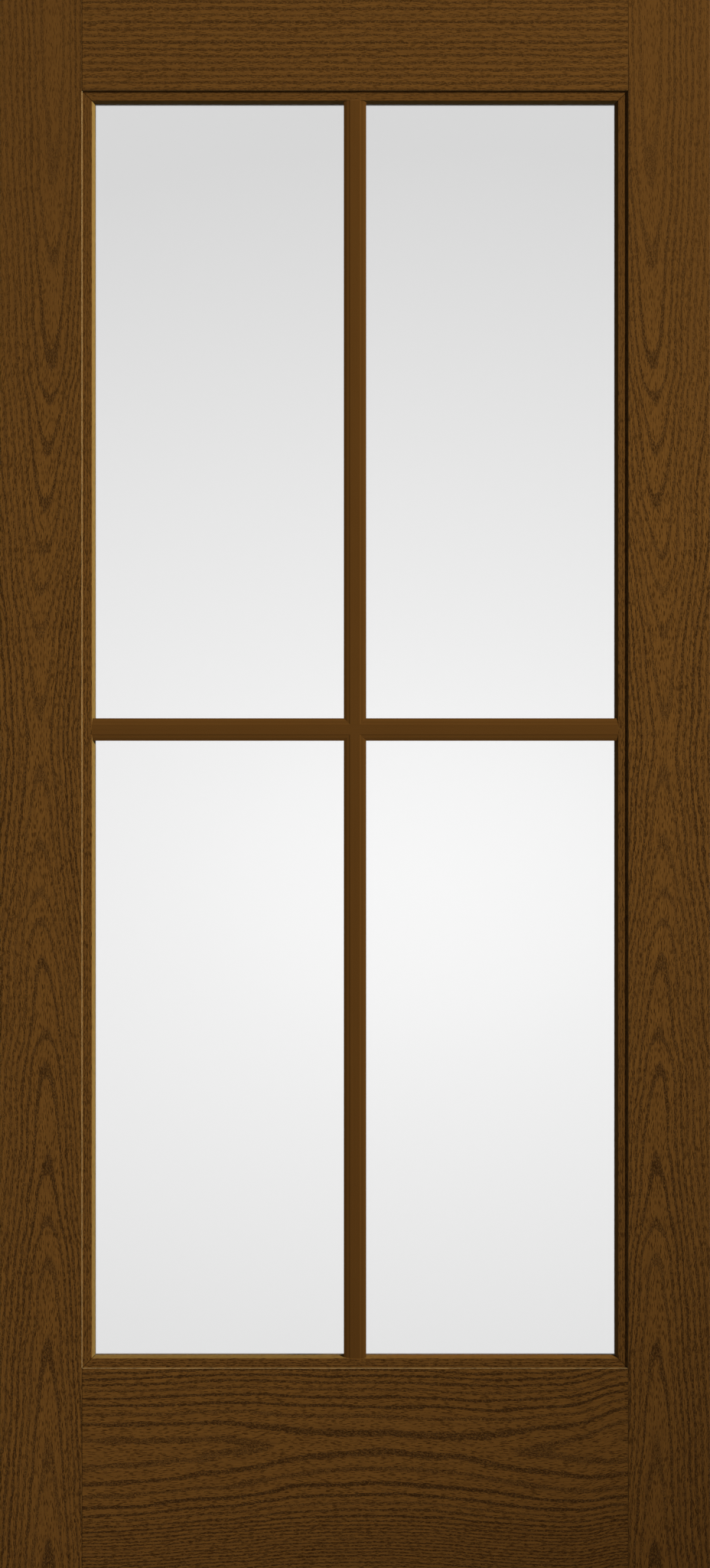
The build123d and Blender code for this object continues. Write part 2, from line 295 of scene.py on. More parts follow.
class OakSettings(bpy.types.PropertyGroup):
    """Stain and figure of the moulded oak grain."""

    stain: colour_setting("Stain", "Brown between the rings", paint(92, 60, 24))
    pale_stain: colour_setting("Pale stain", "Lighter streaks along the grain", paint(111, 74, 30))
    ring_stain: colour_setting("Ring stain", "Greyer brown of the late wood", paint(50, 35, 19))
    # Dark stain of pores, joints and mitres, also used for the painted shade on the lock side's upright bead
    dark_stain_and_shade: colour_setting("Dark stain", "Stain that settles in the pores", paint(44, 24, 5))
    # Golden colour of the eased edges: a painted highlight, partly stain thinned by wear
    arris_highlight_and_wear: colour_setting("Arris stain", "Golden stain on the eased edges", paint(142, 117, 74))
    # Golden colour of the bead slopes: a painted highlight
    bead_highlight_stain: colour_setting("Bead stain", "Golden brown of the bead slopes", paint(122, 96, 48))
    sheen: colour_setting("Sheen", "Warm tint of the sealer's sheen", (0.75, 0.5, 0.25))
    bar_stain: colour_setting("Bar stain", "Even brown of the glazing bars", paint(90, 58, 22))
    top_pitch: length_setting("Top rail ring pitch", "Ring spacing on the top rail", 0.0086)
    bead_pitch: length_setting("Bead ring pitch", "Ring spacing on the beads", 0.0036)
    pore_length: length_setting("Pore length", "Length of a pore along the grain", 0.007)
    pore_width: length_setting("Pore width", "Width of a pore across the grain", 0.0010)
    relief: length_setting("Relief", "Depth of the moulded pores", 0.00006)


class GlazingSettings(bpy.types.PropertyGroup):
    """Glass, spacer and seals."""

    glass_tint: colour_setting("Glass tint", "Tint of the clear panes", (0.985, 0.985, 0.985))
    spacer_metal: colour_setting("Spacer metal", "Aluminium of the spacer", paint(196, 198, 200))
    # Painted shade: the dark of the vent slots stands for the shade inside each hole; the same dark tints the
    # spacer's rolled lines
    slot_shade_and_rolled_line: colour_setting("Slot shade", "Dark of the spacer's vent slots", paint(40, 41, 43))
    tape: colour_setting("Glazing tape", "Brown black of the glazing tape", paint(38, 31, 25))
    rubber: colour_setting("Setting rubber", "Black of the setting blocks", paint(34, 34, 35))
    slot_spacing: length_setting("Slot spacing", "Distance between the spacer's vent slots", 0.006)
    slot_length: length_setting("Slot length", "Length of a vent slot", 0.0024)
    slot_width: length_setting("Slot width", "Width of a vent slot", 0.0008)
    slot_depth: length_setting("Slot depth", "Depth of a vent slot's rim", 0.0003)


class EdgeSettings(bpy.types.PropertyGroup):
    """Woods and core that show at the leaf's edges."""

    hardwood: colour_setting("Hardwood", "Stained hardwood of the edge strips", paint(104, 67, 30))
    hardwood_dark: colour_setting("Hardwood grain", "Dark grain of the edge strips", paint(64, 39, 17))
    veneer: colour_setting("Veneer", "Pale plies of the stiles", paint(196, 160, 112))
    veneer_dark: colour_setting("Veneer glue line", "Darker plies and glue lines", paint(140, 101, 62))
    composite: colour_setting("Composite", "Tan of the rails", paint(172, 146, 112))
    composite_dark: colour_setting("Composite fleck", "Darker fibres of the rails", paint(124, 98, 70))
    softwood: colour_setting("Softwood", "Pale wood of the liners", paint(205, 172, 122))
    softwood_dark: colour_setting("Softwood grain", "Grain of the liners", paint(160, 117, 70))
    foam: colour_setting("Foam", "Cream of the core", paint(226, 208, 160))
    foam_dark: colour_setting("Foam cells", "Darker cells of the core", paint(196, 172, 118))
    ply_thickness: length_setting("Ply thickness", "Thickness of one veneer ply", 0.0032)


class StageSettings(bpy.types.PropertyGroup):
    """Floor, light and camera."""

    floor: colour_setting("Floor", "Pale floor", (0.66, 0.66, 0.65))
    lens: FloatProperty(
        name="Lens", description="Focal length in millimetres", default=250.0, min=35, unit="CAMERA")
    sky: level_setting("Sky", "Level of the even light from all round", 0.03)
    key: level_setting("Key", "Strength of the key light where it meets the leaf", 7.5)
    top_light: level_setting("Top light", "Watts of the soft light above the front", 0.6, "POWER")
    back_light: level_setting("Back light", "Watts of the soft light behind the leaf", 130.0, "POWER")
    floor_light: level_setting("Floor light", "Strength of the even light on the floor", 3.6)


class Wire:
    """A number carried by a node socket, so that sums of sockets read as sums."""

    def __init__(self, sheet, socket):
        self.sheet = sheet
        self.socket = socket

    def __add__(self, other):
        return self.sheet.math("ADD", self, other)

    __radd__ = __add__

    def __sub__(self, other):
        return self.sheet.math("SUBTRACT", self, other)

    def __rsub__(self, other):
        return self.sheet.math("SUBTRACT", other, self)

    def __mul__(self, other):
        return self.sheet.math("MULTIPLY", self, other)

    __rmul__ = __mul__

    def __truediv__(self, other):
        return self.sheet.math("DIVIDE", self, other)

    def __abs__(self):
        return self.sheet.math("ABSOLUTE", self)

    def __lt__(self, other):
        return self.sheet.math("LESS_THAN", self, other)

    def __gt__(self, other):
        return self.sheet.math("GREATER_THAN", self, other)


class NodeSheet:
    """One node tree, laid out with short calls."""

    def __init__(self, tree):
        self.tree = tree

    def node(self, kind, inputs=None, **settings):
        """A new node with its settings made and its inputs fed."""
        made = self.tree.nodes.new(kind)
        for name, value in settings.items():
            setattr(made, name, value)
        for key, value in (inputs or {}).items():
            self.feed(made.inputs[key], value)
        return made

    def feed(self, socket, value):
        """Links a socket to a wire, or sets it to a plain value."""
        if isinstance(value, Wire):
            value = value.socket
        if isinstance(value, bpy.types.NodeSocket):
            self.tree.links.new(value, socket)
        else:
            socket.default_value = value

    def wire(self, node, output=0):
        """One output of a node as a wire."""
        return Wire(self, node.outputs[output])

    def math(self, operation, *values):
        """The result of one sum."""
        return self.wire(self.node("ShaderNodeMath", dict(enumerate(values)), operation=operation))

    def place(self):
        """The point's place on the leaf in millimetres: x across, y through and z up."""
        coordinates = self.node("ShaderNodeTexCoord")
        split = self.node("ShaderNodeSeparateXYZ", {"Vector": coordinates.outputs["Object"]})
        return tuple(self.wire(split, axis) * MM for axis in ("X", "Y", "Z"))

    def choose(self, switch, when_off, when_on):
        """One of two numbers, or a blend of them."""
        mix = self.node("ShaderNodeMix", {0: switch, 2: when_off, 3: when_on}, data_type="FLOAT")
        return self.wire(mix)

    def stain(self, share, ground, tint):
        """A ground colour with a share of a tint over it."""
        ground, tint = (c if isinstance(c, Wire) else opaque(c) for c in (ground, tint))
        mix = self.node("ShaderNodeMix", {0: share, 6: ground, 7: tint}, data_type="RGBA")
        return self.wire(mix, 2)

    def ease(self, value, low, high, start=0.0, end=1.0):
        """Eases from start to end while the value goes from low to high."""
        spread = {"Value": value, "From Min": low, "From Max": high, "To Min": start, "To Max": end}
        return self.wire(self.node("ShaderNodeMapRange", spread, interpolation_type="SMOOTHSTEP"))

    def curve(self, value, points):
        """A smooth curve through points from 0 to 1."""
        made = self.node("ShaderNodeFloatCurve", {"Value": value})
        line = made.mapping.curves[0]
        line.points[0].location, line.points[-1].location = points[0], points[-1]
        for point in points[1:-1]:
            line.points.new(*point)
        made.mapping.update()
        return self.wire(made)

    def noise(self, along, across, layer, size, detail=2.0):
        """Cloudy variation from 0 to 1, stretched to a size along and across the grain."""
        length, width = size
        sideways = across / width
        lengthways = along / length + sideways * SHEAR
        spot = self.node("ShaderNodeCombineXYZ", {"X": lengthways, "Y": sideways, "Z": layer})
        clouds = {"Vector": spot.outputs[0], "Scale": 1.0, "Detail": detail, "Roughness": NOISE_ROUGHNESS}
        return self.wire(self.node("ShaderNodeTexNoise", clouds))

    def drift(self, along, across, layer, size, depth):
        """A shift to either side, up to half of a depth."""
        return (self.noise(along, across, layer, size, detail=1.0) - 0.5) * depth

    def relief(self, height):
        """A surface normal from a height in millimetres."""
        return self.wire(self.node("ShaderNodeBump", {"Height": height, "Distance": 1 / MM, "Strength": 1.0}))


def new_material(name):
    """A material with its node sheet and a Principled shader wired to the surface."""
    material = bpy.data.materials.new(name)
    material.use_nodes = True
    tree = material.node_tree
    tree.nodes.clear()
    sheet = NodeSheet(tree)
    shader = sheet.node("ShaderNodeBsdfPrincipled")
    sheet.node("ShaderNodeOutputMaterial", {"Surface": shader.outputs[0]})
    return material, sheet, shader


def dress(material, *names):
    """Gives CAD nodes their material."""
    for name in names:
        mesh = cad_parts[name].data
        mesh.materials.clear()
        mesh.materials.append(material)


def both_faces(*names):
    """The names of pieces that lie on the outdoor and on the indoor face."""
    return [f"{face}_{name}" for face in ("exterior", "interior") for name in names]


def satin(shader, oak):
    """Low sheen of a stained and sealed face."""
    shader.inputs["Specular IOR Level"].default_value = SHEEN_LEVEL
    shader.inputs["Specular Tint"].default_value = opaque(oak.sheen)


def late_wood(sheet, along, across, layer, ring, wobble, share):
    """Dark late wood over a share of each ring, sharp at its inner side and fading outwards, from 0 to 1."""
    sway = sheet.drift(along, across, layer, RING_SWAY, RING_SWAY_DEPTH)
    jag = sheet.drift(along, across, layer + JAG_LAYER, RING_JAG, RING_JAG_DEPTH)
    ring = ring + (sway + jag) * wobble
    turn = sheet.math("FRACT", ring)
    number = sheet.node("ShaderNodeTexWhiteNoise", {"W": sheet.math("FLOOR", ring)}, noise_dimensions="1D")
    strength = sheet.ease(sheet.wire(number), 0.0, 1.0, FAINTEST_BAND, 1.0)
    rise = sheet.ease(turn, 0.0, share * BAND_RISE)
    fade = sheet.ease(turn, share * BAND_FADE, share, 1.0, 0.0)
    return rise * fade * strength


def dashes(sheet, along, across, layer, length, width, reach, least):
    """Short strokes along the grain, at most one to a cell of a length and width, from 0 to 1."""
    sideways = across / width + layer * STROKE_SHIFT
    spot = sheet.node("ShaderNodeCombineXYZ", {"X": along / length, "Y": sideways})
    grid = {"Vector": spot.outputs[0], "Scale": 1.0}
    cells = sheet.node("ShaderNodeTexVoronoi", grid, voronoi_dimensions="2D")
    fullness = sheet.ease(cells.outputs["Color"], *STROKE_DRAW, least, FULLEST_STROKE)
    return sheet.ease(sheet.wire(cells, "Distance") - fullness * reach, *STROKE_EDGE, 1.0, 0.0)


def oak_pores(sheet, oak, along, across, layer, rings):
    """Pores as short dashes, sparse between the rings and crowded in them, from 0 to 1."""
    long = oak.pore_length * MM * PORE_CELL_LENGTH
    wide = oak.pore_width * MM * PORE_CELL_WIDTH
    open_layer, ring_layer = layer + OPEN_PORE_LAYER, layer + RING_PORE_LAYER
    open_pores = dashes(sheet, along, across, open_layer, long, wide, OPEN_PORE_REACH, OPEN_PORE_LEAST)
    ring_pores = dashes(sheet, along, across, ring_layer, long * RING_PORE_LENGTH, wide * RING_PORE_WIDTH,
                        rings * RING_PORE_REACH, RING_PORE_LEAST)
    return sheet.math("MAXIMUM", open_pores * OPEN_PORE_STAIN, ring_pores * RING_PORE_STAIN)


def oak_stain(sheet, oak, along, across, height, layer, rings, pores, highlight_and_wear, tint):
    """Colour of stained oak from its rings, pores and slow streaks, with a golden tint where the mask says: a
    painted highlight, partly stain thinned by wear on the eased edges.
    """
    streak = sheet.ease(sheet.noise(along, across, layer + STREAK_LAYER, STREAK, detail=3.0), *CLOUD)
    fibre = sheet.ease(sheet.noise(along, across, layer + FIBRE_LAYER, FIBRE, detail=1.0), *FIBRE_SPAN)
    specks = sheet.noise(along, across, layer + SPECK_LAYER, SPECK, detail=1.0)
    specks = sheet.ease(specks, *SPECK_SPAN, FAINTEST_SPECK, 1.0)
    pale = streak * STREAK_SHARE + fibre * FIBRE_SHARE
    pale = pale * sheet.ease(height, *FAINT_GRAIN, 1.0, HEAD_PALENESS)
    base = sheet.stain(pale, oak.stain, oak.pale_stain)
    fresh = sheet.choose(highlight_and_wear, 1.0, HIGHLIGHT_AND_WEAR_GRAIN) * sheet.ease(height, *FAINT_GRAIN, 1.0, HEAD_GRAIN)
    bands = rings * specks * fresh * BAND_STAIN
    banded = sheet.stain(bands, sheet.stain(highlight_and_wear, base, tint), oak.ring_stain)
    return sheet.stain(pores * fresh, banded, oak.dark_stain_and_shade)


def eye_figure():
    """Curve points of the stile figure: one ring down at each cathedral tip away from the eye."""
    below = [(-gap, ring + 1 - CREST) for ring, gap in enumerate(TIPS_BELOW_EYE)]
    above = [(gap, ring + 1 - CREST) for ring, gap in enumerate(TIPS_ABOVE_EYE)]
    tips = [*reversed(below), (0, 0.5), *above]
    heights = [((STILE_EYE + rise) / LEAF_HEIGHT, 1 - ring / STILE_RINGS) for rise, ring in tips]
    return [(0.0, 0.0), *heights, (1.0, 1 - RINGS_AT_HEAD / STILE_RINGS)]


def figure(sheet, across, start, end, rings, arch):
    """Rings counted across the grain from the heart line, along a drawn arch."""
    points = [((place - start) / (end - start), count / rings) for place, count in arch]
    return sheet.curve((across - start) / (end - start), points) * rings


def skin_oak(oak):
    """Moulded oak skin: upright figure on the stiles, level figure on the rails."""
    material, sheet, shader = new_material("stained_oak_skin")
    x, y, z = sheet.place()
    from_middle = x - LEAF_MIDDLE_X
    is_rail = abs(from_middle) < JOINT_HALF_SPAN
    is_bottom = z < OPENING_MIDDLE_Z
    is_lock_side = x > LEAF_MIDDLE_X
    height_share = z / LEAF_HEIGHT
    wander = sheet.drift(z, is_lock_side * LOCK_SIDE_SHIFT, WANDER_LAYER, WANDER, HEART_WANDER)
    sway = sheet.curve(height_share, HEART_LINE) * HEART_SWAY
    heart = sway + HEART_INSET + wander + is_lock_side * LOCK_SIDE_INSET
    stile_across = LEAF_WIDTH / 2 - abs(from_middle) - heart
    bottom_heart = sheet.curve(x / LEAF_WIDTH, BOTTOM_HEART_LINE) * BOTTOM_SWAY + BOTTOM_HEART
    rail_across = z - sheet.choose(is_bottom, TOP_HEART, bottom_heart)
    along = sheet.choose(is_rail, z, x)
    across = sheet.choose(is_rail, stile_across, rail_across)
    layer = is_lock_side * LOCK_STILE_LAYER * (1.0 - is_rail) + is_rail * RAIL_LAYER
    stile_depth = (sheet.curve(height_share, eye_figure()) - 1.0) * STILE_RINGS
    loop_depth = (sheet.curve(x / LEAF_WIDTH, BOTTOM_LOOPS) - 1.0) * BOTTOM_DEPTH * is_bottom
    depth = sheet.choose(is_rail, stile_depth, loop_depth)
    arch = figure(sheet, stile_across, ARCH_FROM, ARCH_TO, ARCH_RINGS, STILE_ARCH)
    bottom_arch = figure(sheet, rail_across, BOTTOM_FROM, BOTTOM_TO, BOTTOM_RINGS, BOTTOM_ARCH)
    loops = sheet.choose(is_bottom, rail_across / (oak.top_pitch * MM), bottom_arch)
    stile_side = sheet.ease(abs(stile_across), ARCH_HEART, ARCH_SIDE)
    bottom_side = sheet.ease(abs(rail_across), BOTTOM_NEAR, BOTTOM_FAR)
    is_side = sheet.choose(is_rail, stile_side, bottom_side)
    heart_band = sheet.choose(is_rail, STILE_HEART_BAND, RAIL_HEART_BAND)
    share = sheet.choose(is_side, heart_band, SIDE_BAND)
    ring = depth + sheet.choose(is_rail, arch, loops)
    boldness = sheet.choose(is_rail * is_bottom, BOLDNESS, BOTTOM_BOLDNESS)
    heart_wobble = sheet.choose(is_rail, STILE_HEART_WOBBLE, RAIL_HEART_WOBBLE)
    wobble = sheet.choose(is_side, heart_wobble, SIDE_WOBBLE)
    rings = late_wood(sheet, along, across, layer, ring, wobble, share) * boldness
    pores = oak_pores(sheet, oak, along, across, layer, rings)
    arris = sheet.ease(FACE_DEPTH - abs(y), *ARRIS_FALL)
    height = sheet.choose(is_rail, z, sheet.math("MINIMUM", z, TOP_RAIL_GRAIN))
    # Eased edges take the golden tint: a painted highlight, partly stain thinned by wear
    grain = oak_stain(sheet, oak, along, across, height, layer, rings, pores, arris, oak.arris_highlight_and_wear)
    in_rails = abs(z - OPENING_MIDDLE_Z) > OPENING_HALF_HEIGHT
    joint = (abs(abs(from_middle) - JOINT_HALF_SPAN) < JOINT_HALF_WIDTH) * in_rails * arris
    face_roughness = sheet.ease(pores, 0.0, 1.0, *SKIN_ROUGHNESS)
    hollow = (pores + rings * RING_RELIEF) * (-oak.relief * MM)
    sheet.feed(shader.inputs["Base Color"], sheet.stain(joint, grain, oak.dark_stain_and_shade))
    sheet.feed(shader.inputs["Roughness"], sheet.choose(arris, face_roughness, ARRIS_ROUGHNESS))
    sheet.feed(shader.inputs["Normal"], sheet.relief(hollow))
    satin(shader, oak)
    return material


def bead_oak(oak):
    """Oak of the mitred beads: grain along each bead, turning at the mitre."""
    material, sheet, shader = new_material("stained_oak_bead")
    x, y, z = sheet.place()
    from_side = OPENING_HALF_WIDTH - abs(x - LEAF_MIDDLE_X)
    from_end = OPENING_HALF_HEIGHT - abs(z - OPENING_MIDDLE_Z)
    is_level = from_end < from_side
    is_bottom = z < OPENING_MIDDLE_Z
    is_lock_side = x > LEAF_MIDDLE_X
    along = sheet.choose(is_level, z, x)
    across = sheet.math("MINIMUM", from_side, from_end)
    layer = is_level * LEVEL_BEAD_LAYER + is_lock_side * LOCK_BEAD_LAYER
    ring = (across - abs(y)) / (oak.bead_pitch * MM)
    rings = late_wood(sheet, along, across, layer, ring, SIDE_WOBBLE, BEAD_BAND)
    pores = oak_pores(sheet, oak, along, across - abs(y), layer, rings)
    slope = sheet.ease(BEAD_FLAT_DEPTH - abs(y), *SLOPE_FALL)
    # Painted highlight and painted light: each bead's slope takes its own share of golden tint, set by how
    # the light would fall on it
    highlight_side = sheet.choose(is_lock_side, HIGHLIGHT_HINGE_SIDE, HIGHLIGHT_LOCK_SIDE)
    highlight_foot = sheet.ease(x, *HIGHLIGHT_CHANGE, HIGHLIGHT_BOTTOM_HINGE_END, HIGHLIGHT_BOTTOM_LOCK_END)
    highlight_end = sheet.choose(is_bottom, HIGHLIGHT_TOP, highlight_foot)
    slope_highlight = sheet.choose(is_level, highlight_side, highlight_end)
    tint = sheet.stain(slope_highlight, oak.pale_stain, oak.bead_highlight_stain)
    grain = oak_stain(sheet, oak, along, across, z, layer, rings, pores, slope, tint)
    mitre = sheet.ease(abs(from_side - from_end), *MITRE_LINE, 1.0, 0.0)
    # Painted shade on the lock side's upright bead, joined with the real dark line of the mitre
    lock_side_shade = is_lock_side * (1.0 - is_level) * LOCK_SIDE_SHADE
    shade = sheet.math("MAXIMUM", mitre * MITRE_STAIN, lock_side_shade)
    sheet.feed(shader.inputs["Base Color"], sheet.stain(shade, grain, oak.dark_stain_and_shade))
    sheet.feed(shader.inputs["Roughness"], sheet.ease(pores, 0.0, 1.0, *BEAD_ROUGHNESS))
    sheet.feed(shader.inputs["Normal"], sheet.relief(pores * (-oak.relief * MM)))
    satin(shader, oak)
    return material


def bar_finish(oak, is_level):
    """Smooth stained bar with faint streaks along its length."""
    material, sheet, shader = new_material("stained_bar_level" if is_level else "stained_bar_upright")
    x, y, z = sheet.place()
    along, across = (x, z) if is_level else (z, x)
    streak = sheet.noise(along, across + y, layer=2.0, size=BAR_STREAK, detail=3.0)
    cloud = sheet.noise(along, across, layer=21.0, size=BAR_CLOUD)
    share = sheet.ease(streak * BAR_STREAK_SHARE + cloud * BAR_CLOUD_SHARE, *BAR_SPAN, 0.0, BAR_STAIN)
    sheet.feed(shader.inputs["Base Color"], sheet.stain(share, oak.bar_stain, oak.dark_stain_and_shade))
    sheet.feed(shader.inputs["Roughness"], sheet.ease(cloud, *CLOUD, *BAR_ROUGHNESS))
    sheet.feed(shader.inputs["Normal"], sheet.relief(streak * BAR_RELIEF))
    satin(shader, oak)
    return material


def clear_glass(glazing):
    """Clear float glass that lets lamp light straight through."""
    material, sheet, shader = new_material("clear_glass")
    x, _, z = sheet.place()
    wipe = sheet.noise(x, z, layer=4.0, size=GLASS_WIPE, detail=3.0)
    shader.inputs["Base Color"].default_value = opaque(glazing.glass_tint)
    shader.inputs["IOR"].default_value = GLASS_IOR
    shader.inputs["Transmission Weight"].default_value = 1.0
    sheet.feed(shader.inputs["Roughness"], sheet.ease(wipe, *CLOUD, 0.0, GLASS_HAZE))
    path = sheet.node("ShaderNodeLightPath")
    passes = sheet.math("MAXIMUM", path.outputs["Is Shadow Ray"], path.outputs["Is Diffuse Ray"])
    through = sheet.node("ShaderNodeBsdfTransparent", {"Color": opaque(glazing.glass_tint)})
    pane = sheet.node("ShaderNodeMixShader", {0: passes, 1: shader.outputs[0], 2: through.outputs[0]})
    output = next(node for node in sheet.tree.nodes if node.type == "OUTPUT_MATERIAL")
    sheet.feed(output.inputs["Surface"], pane.outputs[0])
    return material


def spacer_metal(glazing):
    """Rolled aluminium with fine lines along the spacer."""
    material, sheet, shader = new_material("spacer_aluminium")
    x, y, z = sheet.place()
    lines = sheet.noise(x + z, y, layer=1.0, size=ROLLED_LINE)
    tone = sheet.ease(lines, *CLOUD, 0.0, ROLLED_LINE_STAIN)
    sheet.feed(shader.inputs["Base Color"], sheet.stain(tone, glazing.spacer_metal, glazing.slot_shade_and_rolled_line))
    shader.inputs["Metallic"].default_value = 1.0
    sheet.feed(shader.inputs["Roughness"], sheet.ease(lines, *CLOUD, *SPACER_ROUGHNESS))
    return material


def slot_painted_shade(glazing):
    """Painted shade of the vent slots: a dark colour on thin discs that stands for the shade inside each
    hole, with a little dust.
    """
    material, sheet, shader = new_material("spacer_slot_painted_shade")
    x, y, z = sheet.place()
    dust = sheet.noise(x + y, z, layer=6.0, size=SLOT_DUST)
    share = sheet.ease(dust, *SLOT_DUST_SPAN, 0.0, SLOT_DUST_SHARE)
    sheet.feed(shader.inputs["Base Color"], sheet.stain(share, glazing.slot_shade_and_rolled_line, glazing.spacer_metal))
    shader.inputs["Roughness"].default_value = SLOT_ROUGHNESS
    return material


def seal_rubber(name, colour, grain, roughness):
    """Rubber or tape with a fine matt grain."""
    material, sheet, shader = new_material(name)
    x, y, z = sheet.place()
    along, across = x + y * SEAL_SLANT[0], z - y * SEAL_SLANT[1]
    specks = sheet.noise(along, across, layer=3.0, size=(grain, grain), detail=3.0)
    dark = tuple(value * SEAL_DARK for value in colour)
    sheet.feed(shader.inputs["Base Color"], sheet.stain(sheet.ease(specks, *CLOUD), colour, dark))
    rough = sheet.ease(specks, *CLOUD, roughness, roughness + SEAL_ROUGHENING)
    sheet.feed(shader.inputs["Roughness"], rough)
    sheet.feed(shader.inputs["Normal"], sheet.relief(specks * SEAL_RELIEF))
    return material


def edge_hardwood(edge):
    """Stained hardwood edge strip with straight upright grain."""
    material, sheet, shader = new_material("edge_hardwood")
    x, y, z = sheet.place()
    sway = sheet.noise(z, y, layer=8.0, size=HARDWOOD_SWAY) * HARDWOOD_SWAY_DEPTH
    lines = sheet.noise(z, y + sway + x * HARDWOOD_SLANT, layer=2.0, size=HARDWOOD_LINE, detail=3.0)
    pores = sheet.ease(sheet.noise(z, y + x, layer=5.0, size=HARDWOOD_PORE), *HARDWOOD_PORE_SPAN)
    dark_lines = sheet.ease(lines, *HARDWOOD_LINE_SPAN, 0.0, HARDWOOD_LINE_STAIN)
    share = sheet.math("MAXIMUM", dark_lines, pores * HARDWOOD_PORE_STAIN)
    sheet.feed(shader.inputs["Base Color"], sheet.stain(share, edge.hardwood, edge.hardwood_dark))
    sheet.feed(shader.inputs["Roughness"], sheet.ease(lines, *CLOUD, *HARDWOOD_ROUGHNESS))
    sheet.feed(shader.inputs["Normal"], sheet.relief(pores * -HARDWOOD_RELIEF))
    return material


def laminated_stile(edge):
    """Laminated veneer: plies across the stile, each with its own tone, and dark glue lines."""
    material, sheet, shader = new_material("laminated_veneer")
    x, y, z = sheet.place()
    wander = sheet.noise(y, x, layer=3.0, size=PLY_WANDER) * PLY_WANDER_DEPTH
    ply = (x + wander) / (edge.ply_thickness * MM)
    tone = sheet.node("ShaderNodeTexWhiteNoise", {"W": sheet.math("FLOOR", ply)}, noise_dimensions="1D")
    glue = sheet.ease(abs(sheet.math("FRACT", ply) - 0.5), *GLUE_LINE)
    fibre = sheet.ease(sheet.noise(z + y, x, layer=6.0, size=PLY_FIBRE, detail=3.0), *PLY_FIBRE_SPAN)
    wood = sheet.wire(tone) * PLY_STAIN + fibre * PLY_FIBRE_STAIN
    share = sheet.math("MAXIMUM", glue * GLUE_STAIN, wood)
    sheet.feed(shader.inputs["Base Color"], sheet.stain(share, edge.veneer, edge.veneer_dark))
    sheet.feed(shader.inputs["Roughness"], sheet.ease(fibre, 0.0, 1.0, *PLY_ROUGHNESS))
    sheet.feed(shader.inputs["Normal"], sheet.relief(fibre * PLY_FIBRE_RELIEF - glue * GLUE_RELIEF))
    return material


def flecked(name, ground, fleck, length, width, height):
    """Pressed or foamed stock with flecks of a second tone."""
    material, sheet, shader = new_material(name)
    x, y, z = sheet.place()
    coarse = sheet.noise(x, y + z, layer=2.0, size=(length, width), detail=4.0)
    fine_size = (length / FINE_FLECK, width / FINE_FLECK)
    fine = sheet.noise(x + z * FINE_FLECK_SLANT, y - z, layer=17.0, size=fine_size)
    share = sheet.ease(coarse * COARSE_SHARE + fine * FINE_SHARE, *FLECK_SPAN)
    sheet.feed(shader.inputs["Base Color"], sheet.stain(share, ground, fleck))
    sheet.feed(shader.inputs["Roughness"], sheet.ease(fine, *CLOUD, *FLECK_ROUGHNESS))
    sheet.feed(shader.inputs["Normal"], sheet.relief((coarse + fine) * height))
    return material


def perforation_tree():
    """Geometry nodes that set vent slots at even steps round the spacer's inner face."""
    tree = bpy.data.node_groups.new("spacer_vent_slots", "GeometryNodeTree")
    tree.interface.new_socket("Geometry", in_out="OUTPUT", socket_type="NodeSocketGeometry")
    for name in ("Width", "Height", "Spacing", "Slot length", "Slot width", "Slot depth"):
        tree.interface.new_socket(name, in_out="INPUT", socket_type="NodeSocketFloat")
    tree.interface.new_socket("Centre", in_out="INPUT", socket_type="NodeSocketVector")
    tree.interface.new_socket("Material", in_out="INPUT", socket_type="NodeSocketMaterial")
    sheet = NodeSheet(tree)
    given = sheet.node("NodeGroupInput").outputs
    sides = {"Width": given["Width"], "Height": given["Height"]}
    loop = sheet.node("GeometryNodeCurvePrimitiveQuadrilateral", sides)
    upright = sheet.node("GeometryNodeTransform", {
        "Geometry": loop.outputs[0], "Translation": given["Centre"], "Rotation": (math.pi / 2, 0, 0)})
    spacing = {"Curve": upright.outputs[0], "Length": given["Spacing"]}
    steps = sheet.node("GeometryNodeResampleCurve", spacing, mode="LENGTH")
    tangent = sheet.node("GeometryNodeInputTangent")
    across = {0: tangent.outputs[0], 1: (0, 1, 0)}
    inward = sheet.node("ShaderNodeVectorMath", across, operation="CROSS_PRODUCT")
    axes = {0: inward.outputs[0], 1: tangent.outputs[0]}
    turn = sheet.node("FunctionNodeAxesToRotation", axes, primary_axis="Z", secondary_axis="X")
    drum = {"Vertices": SLOT_SIDES, "Radius": SLOT_RADIUS, "Depth": given["Slot depth"]}
    slot = sheet.node("GeometryNodeMeshCylinder", drum)
    size = sheet.node("ShaderNodeCombineXYZ", {"X": given["Slot length"], "Y": given["Slot width"], "Z": 1.0})
    slots = sheet.node("GeometryNodeInstanceOnPoints", {
        "Points": steps.outputs[0],
        "Instance": slot.outputs[0],
        "Rotation": turn.outputs[0],
        "Scale": size.outputs[0],
    })
    real = sheet.node("GeometryNodeRealizeInstances", {"Geometry": slots.outputs[0]})
    dark = sheet.node("GeometryNodeSetMaterial", {"Geometry": real.outputs[0], "Material": given["Material"]})
    sheet.node("NodeGroupOutput", {"Geometry": dark.outputs[0]})
    return tree


